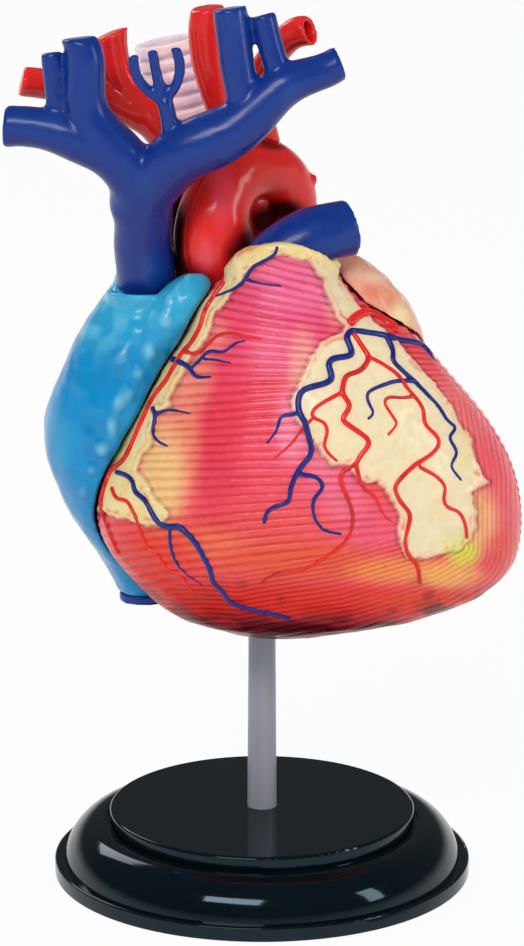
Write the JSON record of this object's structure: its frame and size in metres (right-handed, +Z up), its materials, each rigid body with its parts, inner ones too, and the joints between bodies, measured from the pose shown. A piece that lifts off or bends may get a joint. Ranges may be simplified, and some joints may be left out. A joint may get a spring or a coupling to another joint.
{
  "type": "heart anatomy model",
  "caption": "Take-apart human heart on a round display stand: front wall, atria, great vessels and windpipe pull off pegs to show the chambers and valves.",
  "frame": {"origin": "middle of the stand's underside, on the rod's axis", "axes": "+Z up along the rod, -Y towards the viewer (front of the heart), +X to the viewer's right (the heart's own left)"},
  "size_m": [0.073, 0.0608, 0.1281],
  "materials": {
    "black_gloss": "gloss",
    "grey_rod": "satin",
    "muscle": "gloss",
    "inner_muscle": "satin",
    "septum_pink": "satin",
    "atrium_blue": "gloss",
    "vein_blue": "gloss",
    "artery_red": "gloss",
    "pulmonary_blue": "gloss",
    "lung_vein_red": "gloss",
    "auricle_peach": "gloss",
    "trachea_cream": "satin",
    "valve_ivory": "satin"
  },
  "bodies": {
    "stand": {"stand_base": "black_gloss"},
    "rod": {"support_rod": "grey_rod"},
    "heart": {"rear_heart_wall": "muscle", "interventricular_septum": "septum_pink", "right_papillary_muscles": "inner_muscle", "left_papillary_muscles": "inner_muscle", "tricuspid_valve": "valve_ivory", "mitral_valve": "valve_ivory", "pulmonary_valve": "valve_ivory", "aortic_valve": "valve_ivory"},
    "front_wall": {"front_heart_wall": "muscle"},
    "right_atrium": {"right_atrium": "atrium_blue", "inferior_vena_cava": "vein_blue"},
    "upper_veins": {"superior_vena_cava": "vein_blue"},
    "aorta": {"aortic_arch_front": "artery_red", "aortic_arch_rear": "artery_red", "brachiocephalic_artery": "artery_red", "left_common_carotid_artery": "artery_red", "left_subclavian_artery": "artery_red"},
    "pulmonary_trunk": {"pulmonary_trunk": "pulmonary_blue"},
    "left_auricle": {"left_auricle": "auricle_peach"},
    "left_atrium": {"left_atrium": "auricle_peach", "left_pulmonary_veins": "lung_vein_red", "right_pulmonary_veins": "lung_vein_red", "right_pulmonary_artery": "pulmonary_blue"},
    "windpipe": {"trachea": "trachea_cream"}
  },
  "joints": [
    {"name": "rod_pull", "type": "slide", "parent": "stand", "child": "rod", "axis": [0, 0, 1], "range_m": [0, 0.02]},
    {"name": "heart_turn", "type": "hinge", "parent": "rod", "child": "heart", "pos_m": [0, 0, 0.045], "axis": [0, 0, 1], "continuous": true},
    {"name": "front_wall_pull", "type": "slide", "parent": "heart", "child": "front_wall", "axis": [0, -1, 0], "range_m": [0, 0.03]},
    {"name": "right_atrium_pull", "type": "slide", "parent": "heart", "child": "right_atrium", "axis": [-1, 0, 0], "range_m": [0, 0.025]},
    {"name": "upper_veins_lift", "type": "slide", "parent": "right_atrium", "child": "upper_veins", "axis": [0, -0.4098, 0.9122], "range_m": [0, 0.022]},
    {"name": "aorta_lift", "type": "slide", "parent": "heart", "child": "aorta", "axis": [0, 0, 1], "range_m": [0, 0.022]},
    {"name": "pulmonary_trunk_pull", "type": "slide", "parent": "heart", "child": "pulmonary_trunk", "axis": [0.6004, 0, 0.7997], "range_m": [0, 0.014]},
    {"name": "left_auricle_pull", "type": "slide", "parent": "heart", "child": "left_auricle", "axis": [1, 0, 0], "range_m": [0, 0.018]},
    {"name": "left_atrium_pull", "type": "slide", "parent": "heart", "child": "left_atrium", "axis": [0, 1, 0], "range_m": [0, 0.022]},
    {"name": "windpipe_lift", "type": "slide", "parent": "left_atrium", "child": "windpipe", "axis": [0, 0, 1], "range_m": [0, 0.018]}
  ]
}
